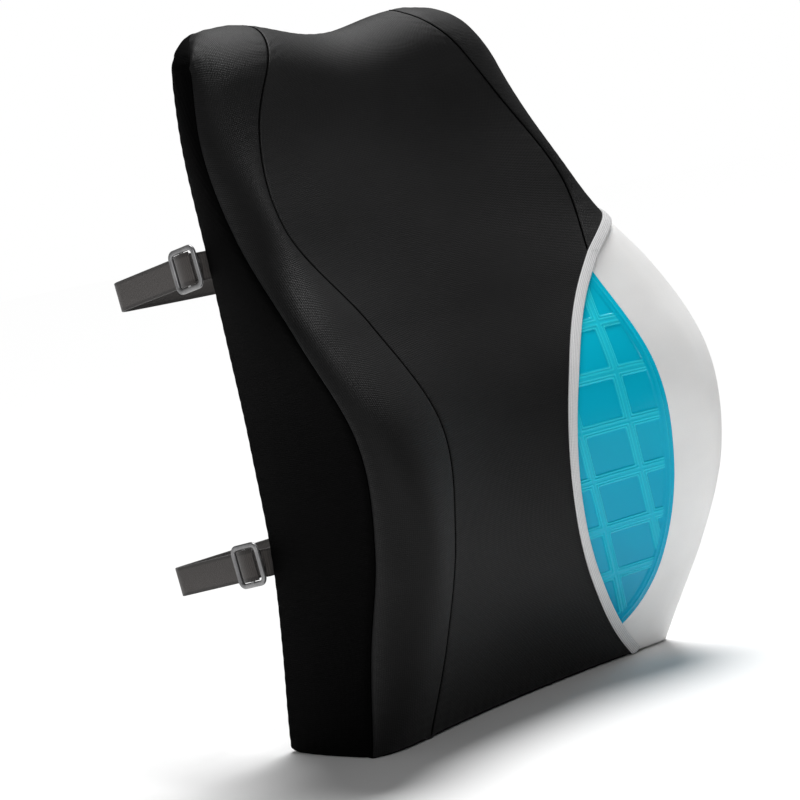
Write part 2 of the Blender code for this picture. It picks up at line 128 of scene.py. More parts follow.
WEB_HALF = 0.009
WEB_THICK = 0.0016
STRAP_DROOP = math.radians(7.3)
STRAP_REACH = 0.089
STRAP_BOW = 0.006  # the far run bows out by this much in its middle
SLIDER_START = 0.0005  # the buckle rests with its near end this far in front of the back panel
STRAP_HINGE_Y = 0.0095
STRAP_CORNER = 0.010
LEG_OUTBOARD = 0.0045  # the strap's legs run this far outside the back panel
STRAP_HEIGHTS = {"upper": 0.289, "lower": 0.111}
FIT_GAP = 0.0004  # play between a strap and what lies against it

ZIP_Z = 0.046
ZIP_HALF_LENGTH = 0.098
ZIP_GAP = 0.0085  # half the height of the opening that shows the zip
COIL_PITCH = 0.0014
COIL_RADIUS = 0.00027

STITCH = 0.0032  # length of one stitch in a front seam
SEAM_STEP = 0.0006
FILL = 0.09  # brightness of the studio, as the things in it see it
CAMERA_DISTANCE = 1.4


# ---- node materials
class Graph:
    """A Principled material, with short ways to add and join its nodes."""

    def __init__(self, name, **settings):
        self.material = bpy.data.materials.new(name)
        self.material.use_nodes = True
        self.tree = self.material.node_tree
        self.shader = self.tree.nodes["Principled BSDF"]
        for key, value in settings.items():
            self.shader.inputs[key.replace("_", " ")].default_value = value

    def node(self, kind, inputs=None, **props):
        made = self.tree.nodes.new(kind)
        for key, value in props.items():
            setattr(made, key, value)
        for key, value in (inputs or {}).items():
            if isinstance(value, bpy.types.NodeSocket):
                self.tree.links.new(value, made.inputs[key])
            else:
                made.inputs[key].default_value = value
        return made

    def math(self, operation, a, b=0.0):
        return self.node("ShaderNodeMath", {0: a, 1: b}, operation=operation).outputs[0]

    def noise(self, vector, scale, detail=2.0, rough=0.5):
        inputs = {"Vector": vector, "Scale": scale, "Detail": detail, "Roughness": rough}
        return self.node("ShaderNodeTexNoise", inputs).outputs["Fac"]

    def mix(self, factor, a, b):
        a, b = (c if isinstance(c, bpy.types.NodeSocket) else (*c, 1.0) for c in (a, b))
        return self.node("ShaderNodeMix", {0: factor, 6: a, 7: b}, data_type="RGBA").outputs[2]

    def span(self, value, low, high, to_low=0.0, to_high=1.0):
        inputs = {0: value, 1: low, 2: high, 3: to_low, 4: to_high}
        return self.node("ShaderNodeMapRange", inputs).outputs[0]

    def to(self, name, socket):
        self.tree.links.new(socket, self.shader.inputs[name])

    def color(self, factor, a, b):
        self.to("Base Color", self.mix(factor, a, b))

    def bump(self, height, strength, distance):
        inputs = {"Height": height, "Strength": strength, "Distance": distance}
        self.to("Normal", self.node("ShaderNodeBump", inputs).outputs[0])

    def uv(self):
        """The mesh's two coordinates along its surface, in metres."""
        vector = self.node("ShaderNodeUVMap").outputs[0]
        parts = self.node("ShaderNodeSeparateXYZ", {0: vector}).outputs
        return parts[0], parts[1]

    def product(self, a, b):
        return self.math("MULTIPLY", a, b)

    def sum(self, a, b):
        return self.math("ADD", a, b)

    def position(self):
        return self.node("ShaderNodeTexCoord").outputs["Object"]


def weave(graph, pitch_u, pitch_v):
    """Height of a plain weave, 0 to 1, over the mesh's own coordinates."""
    u, v = graph.uv()
    warp = graph.math("SINE", graph.product(u, math.pi / pitch_u))
    weft = graph.math("SINE", graph.product(v, math.pi / pitch_v))
    return graph.math("ABSOLUTE", graph.product(warp, weft))


def cloth_material(name, dark, light, pitch, roughness=0.7, sheen=0.1, gloss=0.2, across=1.0):
    """Woven cloth, whose tone and bumps follow its threads and fibres."""
    graph = Graph(name, Roughness=roughness, Sheen_Weight=sheen, Sheen_Roughness=0.45, IOR=1.4)
    graph.shader.inputs["Specular IOR Level"].default_value = gloss
    graph.shader.inputs["Sheen Tint"].default_value = (0.9, 0.9, 0.95, 1.0)
    height = weave(graph, pitch, pitch * across)
    place = graph.position()
    fibre = graph.noise(place, 1400.0, 3.0, 0.7)
    patch = graph.noise(place, 22.0, 3.0, 0.6)
    thread = graph.sum(graph.product(height, 0.6), graph.product(fibre, 0.55))
    tone = graph.product(graph.span(thread, 0.2, 1.0), graph.span(patch, 0.3, 0.7, 0.75, 1.15))
    graph.color(tone, dark, light)
    graph.bump(thread, 0.5, pitch * 0.4)
    graph.to("Roughness", graph.span(fibre, 0.2, 0.8, roughness - 0.08, roughness + 0.12))
    return graph.material


def band_material():
    """White binding, ribbed across its length."""
    graph = Graph("band_ribbed", Roughness=0.75, Sheen_Weight=0.15, IOR=1.4)
    u, v = graph.uv()
    rib = graph.math("SINE", graph.product(v, 2 * math.pi / 0.0011))
    fine = graph.math("SINE", graph.product(u, 2 * math.pi / 0.0009))
    fibre = graph.noise(graph.position(), 1500.0, 2.0, 0.6)
    height = graph.sum(graph.product(rib, 0.35), graph.product(fine, 0.15))
    height = graph.sum(height, graph.product(fibre, 0.5))
    graph.color(graph.span(height, -0.2, 0.6), (0.52, 0.52, 0.53), (0.80, 0.80, 0.80))
    graph.bump(height, 0.6, 0.0004)
    return graph.material


def foam_material():
    graph = Graph("moulded_foam", Roughness=0.7, Subsurface_Weight=0.12, Subsurface_Scale=0.004, IOR=1.4)
    graph.shader.inputs["Subsurface Radius"].default_value = (1.0, 0.9, 0.8)
    place = graph.position()
    pores = graph.noise(place, 2200.0, 2.0, 0.5)
    broad = graph.noise(place, 30.0, 2.0, 0.5)
    tone = graph.sum(graph.product(pores, 0.3), graph.product(broad, 0.7))
    graph.color(graph.span(tone, 0.3, 0.7), (0.78, 0.775, 0.77), (0.86, 0.86, 0.855))
    graph.bump(pores, 0.12, 0.0003)
    return graph.material


def gel_material():
    """Blue gel: deep in the cells, paler on the ribs, with painted highlights along their edges and painted
    light that grows towards the top.
    """
    graph = Graph(
        "blue_gel", Roughness=0.24, Subsurface_Weight=0.15, Subsurface_Scale=0.004,
        Coat_Weight=0.04, Coat_Roughness=0.12, IOR=1.45,
    )
    graph.shader.inputs["Subsurface Radius"].default_value = (0.2, 0.7, 1.0)
    graph.shader.inputs["Specular IOR Level"].default_value = 0.16
    place = graph.position()
    level = graph.node("ShaderNodeAttribute", attribute_name="level").outputs["Fac"]
    cloud = graph.noise(place, 16.0, 2.0, 0.5)
    height = graph.node("ShaderNodeSeparateXYZ", {0: place}).outputs[2]
    # Painted light: the gel's tone grows paler towards the top.
    rise = graph.product(graph.span(height, 0.03, 0.24), 0.75)
    tone = graph.sum(rise, graph.product(cloud, 0.3))
    deep = graph.mix(tone, (0.000, 0.300, 0.530), (0.001, 0.530, 0.700))
    pale = graph.mix(tone, (0.010, 0.560, 0.760), (0.050, 0.820, 0.900))
    graph.color(level, deep, pale)
    graph.bump(graph.noise(place, 700.0, 2.0, 0.5), 0.04, 0.0004)
    return graph.material


def metal_material(name, dark, light, metallic, roughness):
    """Grey enamelled metal with fine brushing and rubbed spots."""
    graph = Graph(name, Metallic=metallic, Roughness=roughness, IOR=1.5)
    place = graph.position()
    scaled = graph.node("ShaderNodeMapping", {0: place, 3: (1.0, 1.0, 8.0)}).outputs[0]
    brushed = graph.noise(scaled, 900.0, 3.0, 0.6)
    rubbed = graph.noise(place, 90.0, 4.0, 0.6)
    graph.color(graph.span(rubbed, 0.35, 0.7), dark, light)
    graph.to("Roughness", graph.span(brushed, 0.2, 0.8, roughness - 0.08, roughness + 0.14))
    graph.bump(brushed, 0.05, 0.0002)
    return graph.material


def webbing_material():
    """Elastic webbing: ribs across its length, and a smooth selvedge along both edges."""
    graph = Graph("elastic_webbing", Roughness=0.85, Sheen_Weight=0.3, Sheen_Roughness=0.5, IOR=1.4)
    u, v = graph.uv()
    rib = graph.math("ABSOLUTE", graph.math("SINE", graph.product(u, math.pi / 0.0012)))
    twill = graph.sum(graph.product(v, math.pi / 0.0008), graph.product(u, 900.0))
    cross = graph.math("ABSOLUTE", graph.math("SINE", twill))
    fibre = graph.noise(graph.position(), 1300.0, 3.0, 0.7)
    body = graph.sum(graph.product(rib, 0.3), graph.product(cross, 0.35))
    body = graph.sum(body, graph.product(fibre, 0.45))
    edge = graph.span(graph.math("ABSOLUTE", v), 0.0068, 0.0074)
    tone = graph.product(body, graph.math("SUBTRACT", 1.0, graph.product(edge, 0.45)))
    dark, light = (0.007, 0.0065, 0.006), (0.085, 0.076, 0.072)
    graph.color(graph.span(tone, 0.1, 0.9), dark, light)
    graph.bump(body, 0.7, 0.0004)
    return graph.material


def thread_material(name, color):
    graph = Graph(name, Roughness=0.9, IOR=1.45)
    graph.shader.inputs["Specular IOR Level"].default_value = 0.03
    twist = graph.noise(graph.position(), 1800.0, 2.0, 0.6)
    graph.color(twist, tuple(0.5 * c for c in color), color)
    graph.bump(twist, 0.4, 0.0002)
    return graph.material


def mesh_material():
    """Black spacer mesh: round holes in staggered rows."""
    graph = Graph("spacer_mesh", Roughness=0.8, Sheen_Weight=0.3, Sheen_Roughness=0.5, IOR=1.4)
    u, v = graph.uv()
    pitch = 0.0032
    a = graph.math("COSINE", graph.product(graph.sum(u, v), math.pi / pitch))
    b = graph.math("COSINE", graph.product(graph.math("SUBTRACT", u, v), math.pi / pitch))
    hole = graph.span(graph.product(a, b), 0.25, 0.6)
    fibre = graph.noise(graph.position(), 1400.0, 3.0, 0.7)
    tone = graph.product(graph.math("SUBTRACT", 1.0, hole), graph.span(fibre, 0.2, 0.8, 0.4, 1.0))
    graph.color(tone, (0.003, 0.003, 0.003), (0.036, 0.036, 0.038))
    height = graph.math("SUBTRACT", graph.product(fibre, 0.3), hole)
    graph.bump(height, 0.8, 0.0008)
    return graph.material


COVER = cloth_material(
    "black_weave", (0.0004, 0.0004, 0.0004), (0.0125, 0.0125, 0.0128), 0.00118,
    roughness=0.52, sheen=0.012, gloss=0.20,
)
# A darker copy of the cover's black weave, with painted shade, for the side gussets, the top strip, the
# base and the lower back.
SHADED_WEAVE = cloth_material(
    "black_weave_painted_shade", (0.0002, 0.0002, 0.0002), (0.0030, 0.0030, 0.0031), 0.00118,
    roughness=0.7, sheen=0.002, gloss=0.02,
)
BACK_MESH = mesh_material()
LINER = cloth_material("white_knit", (0.55, 0.55, 0.54), (0.75, 0.75, 0.74), 0.0010, gloss=0.5)
BAND = band_material()
FOAM = foam_material()
GEL = gel_material()
WEBBING = webbing_material()
TAPE = cloth_material("zip_tape", (0.004, 0.004, 0.004), (0.028, 0.028, 0.028), 0.0007, across=0.5)
BUCKLE = metal_material("buckle_grey", (0.20, 0.20, 0.205), (0.34, 0.34, 0.34), 0.65, 0.34)
ZIP_METAL = metal_material("zip_enamel", (0.03, 0.03, 0.032), (0.09, 0.09, 0.095), 0.8, 0.35)
ZIP_COIL = metal_material("zip_nylon", (0.010, 0.010, 0.010), (0.026, 0.026, 0.026), 0.0, 0.42)
# Near-black seam thread, darker than the cloth: a real stitch whose darkness also paints the shade in the
# seam's groove.
SEAM_THREAD_AND_SHADE = thread_material("black_thread_and_groove_shade", (0.0008, 0.0008, 0.0008))
WHITE_THREAD = thread_material("grey_thread", (0.09, 0.09, 0.09))


# ---- the cushion's surface
def station(values, z):
    """A smooth curve through the stations' values, in metres."""
    v = np.asarray(values, float) * MM
    slope = np.gradient(v)
    q = np.clip(np.asarray(z, float) / STATION_STEP, 0, len(v) - 1.0001)
    i = q.astype(int)
    t = q - i
    start, end = v[i], v[i + 1]
    return (
        (2 * t**3 - 3 * t**2 + 1) * start
        + (t**3 - 2 * t**2 + t) * slope[i]
        + (3 * t**2 - 2 * t**3) * end
        + (t**3 - t**2) * slope[i + 1]
    )


def top_height(x, half):
    x = np.abs(x)
    dip = NECK_DIP * 0.5 * (1 + np.cos(np.pi * np.clip(x / NECK_HALF, 0, 1)))
    fall = SHOULDER_FALL * np.clip((x - NECK_HALF) / (half - NECK_HALF), 0, 1)
    corner = np.clip((x - (half - CORNER)) / CORNER, 0, 1)
    return HEIGHT - dip - fall - CORNER * (1 - np.sqrt(1 - corner**2))


def quadratic(a, b, c, t):
    """A curve from a to c that leans towards b."""
    return (1 - t) ** 2 * a + 2 * t * (1 - t) * b + t * t * c


def front(col, v, inset):
    """On the front. |col| runs 0 to 1 over the centre panel and 1 to 2 over a wing; v runs up."""
    side, a = np.sign(col), np.abs(col)
    z = v * HEIGHT
    for _ in range(8):
        seam, crease = station(SEAM_HALF, z), station(CREASE_HALF, z) - inset
        seam_y, crease_y = station(SEAM_DEPTH, z), station(CREASE_DEPTH, z)
        swell_x = crease - WING_LEAN * (crease - seam)
        swell_y = np.maximum(seam_y, crease_y) + station(WING_BULGE, z)
        t = 1 - np.clip(a - 1, 0, 1)
        c = np.clip(a, 0, 1)
        x = np.where(a <= 1, c * seam, quadratic(crease, swell_x, seam, t))
        dish = seam_y - station(CENTRE_DIP, z) * (1 - c * c)
        y = np.where(a <= 1, dish, quadratic(crease_y, swell_y, seam_y, t))
        top = top_height(x, crease) - inset
        z = inset + v * (top - inset)
    k = np.clip((z - (top - ROLL)) / ROLL, 0, 1)
    strip = TOP_STRIP + CORNER_STRIP * smooth(a, 1.35, 2.0)
    y = strip + (y - strip) * np.sqrt(np.clip(1 - k * k, 0, 1))
    return np.stack([side * x, inset - y, z], -1)


def back(col, v, inset):
    side, a = np.sign(col), np.abs(col)
    z = v * HEIGHT
    for _ in range(8):
        half = station(BACK_HALF, z) - inset
        x = half * a / 2
        top = top_height(x, half) - inset
        z = inset + v * (top - inset)
    return np.stack([side * x, np.full_like(x, -inset), z], -1)


def solid(col, v, w, inset=0.0):
    """A point of the cushion. w runs from the front, 0, to the back, 1."""
    col, v, w = (np.asarray(k, float) for k in np.broadcast_arrays(col, v, w))
    point = front(col, v, inset) * (1 - w)[..., None] + back(col, v, inset) * w[..., None]
    point[..., 0] += np.sign(col) * SIDE_PUFF * 4 * w * (1 - w) * (np.abs(col) / 2) ** 8
    depth = -inset - point[..., 1]
    depth, rise = round_edge(depth, point[..., 2] - inset, BASE_ROUND)
    gap = station(BACK_HALF, point[..., 2]) * (1 - np.abs(col) / 2)
    depth, new_gap = round_edge(depth, gap, BACK_ROUND)
    drop = (1 - v) * HEIGHT
    depth, new_drop = round_edge(depth, drop, BACK_ROUND)
    point[..., 0] -= np.sign(col) * (new_gap - gap)
    point[..., 1] = BACK_Y - inset - depth
    point[..., 2] = inset + rise - (new_drop - drop)
    return point


def round_edge(a, b, radius):
    """Distances a and b from two walls, changed so that the edge between the walls is rounded."""
    p, q = np.maximum(radius - a, 0), np.maximum(radius - b, 0)
    scale = np.maximum(p, q) / np.maximum(np.hypot(p, q), 1e-9)
    return np.where(p > 0, radius - p * scale, a), np.where(q > 0, radius - q * scale, b)


def inward(col, v, w):
    """The way into the cushion, which two panels share along their common edge."""
    return unit(solid(col, v, w, 0.006) - solid(col, v, w))


def wing_share(x, seam, crease):
    """Where x lies along the wing's curve: 0 at the crease, 1 at the seam."""
    share = np.clip((crease - x) / (crease - seam), 0, 1)
    return (np.sqrt(WING_LEAN**2 + (1 - 2 * WING_LEAN) * share) - WING_LEAN) / (1 - 2 * WING_LEAN)


def front_y(x, z, inset):
    """Depth of the front at x and z, below the top roll."""
    seam, crease = station(SEAM_HALF, z), station(CREASE_HALF, z) - inset
    seam_y, crease_y = station(SEAM_DEPTH, z), station(CREASE_DEPTH, z)
    x = np.abs(x)
    dish = seam_y - station(CENTRE_DIP, z) * (1 - np.minimum(x / seam, 1) ** 2)
    t = wing_share(x, seam, crease)
    swell = np.maximum(seam_y, crease_y) + station(WING_BULGE, z)
    return BACK_Y + inset - np.where(x <= seam, dish, quadratic(crease_y, swell, seam_y, t))


def soft_front_y(x, z, inset):
    """The same without the fold at the seam, because foam and gel have no seam there."""
    reach = np.clip(0.8 * (station(CREASE_HALF, z) - inset - np.abs(x)), 0.0, 0.016)
    steps = np.linspace(-1, 1, 9)
    weights = np.cos(steps * math.pi / 2.2) ** 2
    total = sum(k * front_y(x + s * reach, z, inset) for s, k in zip(steps, weights))
    return total / weights.sum()


def unit(vectors):
    return vectors / np.linalg.norm(vectors, axis=-1, keepdims=True)


def smooth(value, low, high):
    """0 up to low, 1 from high on, and an S curve between."""
    t = np.clip((value - low) / (high - low), 0, 1)
    return t * t * (3 - 2 * t)


def steepness(z):
    return np.where(z > WINDOW_Z, STEEPNESS_ABOVE, WINDOW_STEEPNESS)


def window_x(z):
    return WINDOW_APEX + steepness(z) * (z - WINDOW_Z) ** 2


def beyond_window(points):
    """How far past the cut edge each point is, in metres: above 0 where the cover is cut away."""
    x, y, z = np.moveaxis(points, -1, 0)
    slope = 2 * steepness(z) * (z - WINDOW_Z)
    edge = (x - window_x(z)) / np.sqrt(1 + slope**2)
    return np.minimum(edge, BACK_Y - WINDOW_BACK - y)


# ---- mesh helpers
def grid_quads(rows, cols):
    index = np.arange(rows * cols).reshape(rows, cols)
    return np.stack([index[:-1, :-1], index[:-1, 1:], index[1:, 1:], index[1:, :-1]], -1).reshape(-1, 4)


def add_mesh(name, points, faces, surface, uv=None, level=None, sharp_above=None):
    mesh = bpy.data.meshes.new(name)
    mesh.from_pydata(np.asarray(points, float).tolist(), [], [list(map(int, f)) for f in faces])
    mesh.materials.append(surface)
    if uv is not None:
        loops = np.empty(len(mesh.loops), np.int32)
        mesh.loops.foreach_get("vertex_index", loops)
        layer = mesh.uv_layers.new(name="UVMap")
        layer.data.foreach_set("uv", np.asarray(uv, np.float32)[loops].ravel())
    if level is not None:
        tones = mesh.attributes.new("level", "FLOAT", "POINT")
        tones.data.foreach_set("value", np.asarray(level, np.float32))
    mesh.shade_smooth()
    if sharp_above:
        mesh.set_sharp_from_angle(angle=sharp_above)
    made = bpy.data.objects.new(name, mesh)
    bpy.context.scene.collection.objects.link(made)
    return made


def close_shell(patches):
    """Points and faces of a thin closed shell: (outer grid, inner grid, kept quads) for each patch."""
    outer, inner, quads, start = [], [], [], 0
    for out_grid, in_grid, kept in patches:
        rows, cols = out_grid.shape[:2]
        outer.append(out_grid.reshape(-1, 3))
        inner.append(in_grid.reshape(-1, 3))
        these = grid_quads(rows, cols)
        quads.append((these if kept is None else these[kept.ravel()]) + start)
        start += rows * cols
    outer, inner, quads = np.concatenate(outer), np.concatenate(inner), np.concatenate(quads)
    first, same = weld(outer)
    quads = same[quads]
    used = np.unique(quads)
    renumber = np.full(len(first), -1)
    renumber[used] = np.arange(len(used))
    quads, keep = renumber[quads], first[used]
    count = len(used)
    edges = np.concatenate([quads[:, [k, (k + 1) % 4]] for k in range(4)])
    edges = edges[edges[:, 0] != edges[:, 1]]
    key = np.sort(edges, axis=1)
    _, index, uses = np.unique(key, axis=0, return_index=True, return_counts=True)
    rim = edges[index[uses == 1]]
    rim_quads = np.stack([rim[:, 1], rim[:, 0], rim[:, 0] + count, rim[:, 1] + count], -1)
    faces = np.concatenate([quads, quads[:, ::-1] + count, rim_quads])
    return np.concatenate([outer[keep], inner[keep]]), without_repeats(faces), keep


def weld(points):
    """The first of each set of points in one place, and for every point the number of its set."""
    _, first, same = np.unique(np.round(points * 1e6), axis=0, return_index=True, return_inverse=True)
    return first, same.reshape(-1)


def without_repeats(faces):
    """Faces whose corners are all different; those left with fewer than three are dropped."""
    kept = (list(dict.fromkeys(face)) for face in faces.tolist())
    return [face for face in kept if len(face) > 2]


def grid_normals(points, outward):
    down, across = np.gradient(points, axis=0), np.gradient(points, axis=1)
    normal = np.cross(across, down)
    normal /= np.maximum(np.linalg.norm(normal, axis=-1, keepdims=True), 1e-12)
    if (normal * outward).sum() < 0:
        normal = -normal
    return normal


def lengths(points, axis):
    """Distance along the surface from the grid's first line, along one axis."""
    step = np.linalg.norm(np.diff(points, axis=axis), axis=-1)
    first = np.zeros_like(np.take(step, [0], axis=axis))
    return np.concatenate([first, np.cumsum(step, axis=axis)], axis=axis)


def clustered(low, high, count, ease=0.55):
    """Numbers from low to high, closer together at both ends."""
    t = np.linspace(0, 1, count)
    eased = (1 - np.cos(np.pi * t)) / 2
    return low + (high - low) * (ease * eased + (1 - ease) * t)


def sweep(name, centre, lateral, normal, section, surface, closed=False):
    """A tube whose section, pairs of (lateral, normal) offsets, is carried along the centre line."""
    section = np.asarray(section, float)
    if section.ndim == 2:
        section = np.broadcast_to(section, (len(centre), *section.shape))
    rings = centre[:, None] + section[..., :1] * lateral[:, None] + section[..., 1:] * normal[:, None]
    count, around = rings.shape[:2]
    index = np.arange(count * around).reshape(count, around)
    ahead = np.roll(index, -1, axis=0) if closed else index[1:]
    here = index if closed else index[:-1]
    faces = np.stack([here, np.roll(here, -1, 1), np.roll(ahead, -1, 1), ahead], -1).reshape(-1, 4).tolist()
    if not closed:
        faces += [index[0, ::-1].tolist(), index[-1].tolist()]
    along = lengths(centre[:, None], 0)[:, 0]
    uv = np.stack([np.broadcast_to(along[:, None], (count, around)), section[..., 0]], -1).reshape(-1, 2)
    made = add_mesh(name, rings.reshape(-1, 3), faces, surface, uv)
    flip_if_inside_out(made)
    return made


def settle(made, node, body):
    """Puts a piece in the place of its CAD node."""
    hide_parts(node)
    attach(made, body)


def flip_if_inside_out(made):
    mesh = made.data
    mesh.calc_loop_triangles()
    volume = 0.0
    for tri in mesh.loop_triangles:
        a, b, c = (mesh.vertices[k].co for k in tri.vertices)
        volume += a.dot(b.cross(c))
    if volume < 0:
        mesh.flip_normals()


# ---- cover panels
def lip(distance, depth, width):
    """The fall of a panel's edge into a seam, `distance` away from it."""
    near = 1 - np.clip(distance / width, 0, 1)
    return depth * (1 - np.sqrt(np.clip(1 - near**2, 0, 1)))


def pucker(distance, along, phase):
    """Small gathers square to a stitched seam, which fade out away from it."""
    wave = np.sin(along * 2 * math.pi / 0.0085 + phase + 2.0 * np.sin(along * 41.0 + phase))
    return PUCKER * wave * np.exp(-distance / 0.008) * smooth(distance, 0.0, 0.002)


def ripple(points):
    """Long faint unevenness, as cloth over foam has."""
    x, y, z = np.moveaxis(points, -1, 0)
    wave = np.sin(31 * x + 17 * z + 2.0 * np.sin(23 * z)) + np.sin(47 * z - 29 * x + 11 * y)
    return RIPPLE * wave


def panel(name, node, col, v, w, edges, surface, window=False):
    """One cover panel. edges: the lips of its first and last column, then of its first and last row."""
    base = solid(col, v, w)
    middle = np.array([0, BACK_Y - 0.05, HEIGHT / 2])
    normal = grid_normals(base, base - middle)
    across, up = lengths(base, 1), lengths(base, 0)
    gaps = (across, across[:, -1:] - across, up, up[-1:] - up)
    sink, gathers = np.zeros(base.shape[:2]), -ripple(base)
    for k, (gap, (depth, width)) in enumerate(zip(gaps, edges)):
        start, end = gaps[2:] if k < 2 else gaps[:2]
        fade = smooth(np.minimum(start, end), 0.0, CORNER_FADE)
        sink = np.maximum(sink, lip(gap, depth, width) * fade)
        gathers = gathers + pucker(gap, up if k < 2 else across, 1.7 * k + len(node)) * fade
    calm = smooth(np.minimum.reduce(gaps), 0.0, 0.004)
    way = inward(col, v, w)
    outer = base + way * sink[..., None] + normal * (gathers * calm)[..., None]
    inner = outer + way * CLOTH
    kept = None
    if window:
        centre = (outer[:-1, :-1] + outer[1:, 1:]) / 2
        kept = beyond_window(centre) < WINDOW_MARGIN
    points, faces, keep = close_shell([(outer, inner, kept)])
    uv = np.stack([across - across[:, -1:].mean() / 2, up], -1).reshape(-1, 2)[keep]
    made = add_mesh(name, points, faces, surface, np.concatenate([uv, uv]), sharp_above=SHARP_ANGLE)
    flip_if_inside_out(made)
    settle(made, node, "cushion")
    inside = np.zeros(base.shape[:2], bool)
    inside[:-1, :-1] = True if kept is None else kept
    width, length = min(np.ptp(across[inside]), np.ptp(gaps[1][inside])), np.ptp(up[inside])
    flat = (round(float(width), 3), round(float(length), 3))
    whole = flat[0] * flat[1]
    area = float(np.clip(sheet_area(outer, kept), LEAST_SHARE * whole, whole))


def sheet_area(points, kept):
    a = points[:-1, 1:] - points[:-1, :-1]
    b = points[1:, :-1] - points[:-1, :-1]
    cells = np.linalg.norm(np.cross(a, b), axis=-1)
    return (cells if kept is None else cells * kept).sum()


ROWS = 1 - (1 - clustered(0.0, 1.0, 190, 0.35)) ** 1.12  # closest together at the top


def make_cover():
    """The nine panels, of which four are cut open at the window."""
    up = ROWS[:, None]
    centre = clustered(-1.0, 1.0, 110)[None, :]
    panel("front_centre", "cover_center_panel", centre, up, 0.0,
          (SEAM_LIP, SEAM_LIP, HEM_LIP, TOP_LIP), COVER, True)
    wing = clustered(1.0, 2.0, 84, 0.85)[None, :]
    panel("front_left_wing", "cover_left_wing_panel", -wing[:, ::-1], up, 0.0,
          (WING_LIP, SEAM_LIP, HEM_LIP, TOP_LIP), COVER)
    panel("front_right_wing", "cover_right_wing_panel", wing, up, 0.0,
          (SEAM_LIP, WING_LIP, HEM_LIP, TOP_LIP), COVER, True)
    deep = clustered(0.0, 1.0, 60)[None, :]
    edges = (GUSSET_LIP, HEM_LIP, HEM_LIP, JOIN)
    for side, col in (("left", -2.0), ("right", 2.0)):
        panel("side_" + side, "cover_" + side + "_side_panel", col, up, deep, edges, SHADED_WEAVE, side == "right")
    whole = clustered(-2.0, 2.0, 220, 0.9)[None, :]
    panel("top_strip", "cover_top_panel", whole, 1.0, clustered(0.0, 1.0, 12)[:, None],
          (JOIN, JOIN, TOP_LIP, TOP_LIP), SHADED_WEAVE)
    deep = clustered(0.0, 1.0, 46)[:, None]
    panel("base_panel", "cover_bottom_panel", whole, 0.0, deep, HEMS, SHADED_WEAVE, True)
    tops = solid(whole, 1.0, 1.0)[..., 2]
    across = np.abs(solid(whole, ZIP_Z / HEIGHT, 1.0)[..., 0])
    half_gap = ZIP_GAP * smooth(across, ZIP_HALF_LENGTH + 0.003, ZIP_HALF_LENGTH)  # closed past its ends
    low, high = (ZIP_Z - half_gap) / tops, (ZIP_Z + half_gap) / tops
    span = clustered(0.0, 1.0, 150, 0.3)[:, None]
    panel("back_mesh", "cover_back_panel", whole, high + span * (1 - high), 1.0,
          (HEM_LIP, HEM_LIP, HEM_LIP, TOP_LIP), BACK_MESH)
    span = clustered(0.0, 1.0, 24)[:, None]
    panel("back_lower", "cover_back_lower_panel", whole, span * low, 1.0, HEMS, SHADED_WEAVE)


# ---- foam, liner and gel
def body_patches(inset, fine):
    """The whole cushion at an inset, as six grids: front, back, two sides, base and top."""
    col = clustered(-2.0, 2.0, 210 if fine else 120, 0.2)
    v = ROWS if fine else ROWS[::2]
    w = clustered(0.0, 1.0, 56 if fine else 30)
    grids = (
        (col[None, :], v[:, None], 0.0), (col[None, ::-1], v[:, None], 1.0),
        (-2.0, v[:, None], w[None, ::-1]), (2.0, v[:, None], w[None, :]),
        (col[None, ::-1], 0.0, w[:, None]), (col[None, :], 1.0, w[:, None]),
    )
    patches = [solid(*grid, inset) for grid in grids]
    for points in patches:
        points[..., 1] = np.minimum(points[..., 1], BACK_Y - 0.9 * inset)
    return patches


def make_liner():
    patches = []
    faces_out, faces_in = (body_patches(LINER_INSET + extra, False) for extra in (0, LINER_THICK))
    for outer, inner in zip(faces_out, faces_in):
        centre = (outer[:-1, :-1] + outer[1:, 1:]) / 2
        patches.append((outer, inner, beyond_window(centre) < 0.002))
    points, faces, _ = close_shell(patches)
    made = add_mesh("inner_liner_knit", points, faces, LINER, points[:, [0, 2]])
    flip_if_inside_out(made)
    settle(made, "inner_liner", "cushion")


def gel_reach(x, z):
    """1 on the gel's outline, less inside it."""
    a, b = np.abs(x) / GEL_HALF_WIDTH, np.abs(z - GEL_CENTRE_Z) / GEL_HALF_HEIGHT
    return (a**GEL_SQUARENESS + b**GEL_SQUARENESS) ** (1 / GEL_SQUARENESS)


def make_foam():
    """The foam: hollowed under the gel, and swollen a little where the cover is cut away."""
    grids, patches, quads, start = body_patches(FOAM_INSET, True), [], [], 0
    for number, points in enumerate(grids):
        x, y, z = np.moveaxis(points, -1, 0).copy()
        if number == 0:
            low = smooth(z, 0.36, 0.32)
            y += low * (soft_front_y(x, z, FOAM_INSET) - front_y(x, z, FOAM_INSET))
            y += GEL_RECESS * smooth(gel_reach(x, z), 0.985, 0.965)
        bare = smooth(beyond_window(points), 0.001, 0.008)
        outward = unit(np.stack([x - 0.02, y - (BACK_Y - 0.045), 0 * x], -1))
        swell = FOAM_INSET + FOAM_SWELL * np.exp(-(((z - 0.17) / 0.10) ** 2))
        z = z - bare * 0.0037 * smooth(z, 0.05, 0.0)
        swell = swell * bare * smooth(x, GEL_HALF_WIDTH - 0.002, GEL_HALF_WIDTH + 0.020)
        patches.append((np.stack([x, y, z], -1) + outward * swell[..., None]).reshape(-1, 3))
        quads.append(grid_quads(*x.shape) + start)
        start += x.size
    first, same = weld(np.concatenate([points.reshape(-1, 3) for points in grids]))
    faces = without_repeats(same[np.concatenate(quads)])
    made = add_mesh("foam_core_moulded", np.concatenate(patches)[first], faces, FOAM)
    flip_if_inside_out(made)
    settle(made, "foam_core", "cushion")


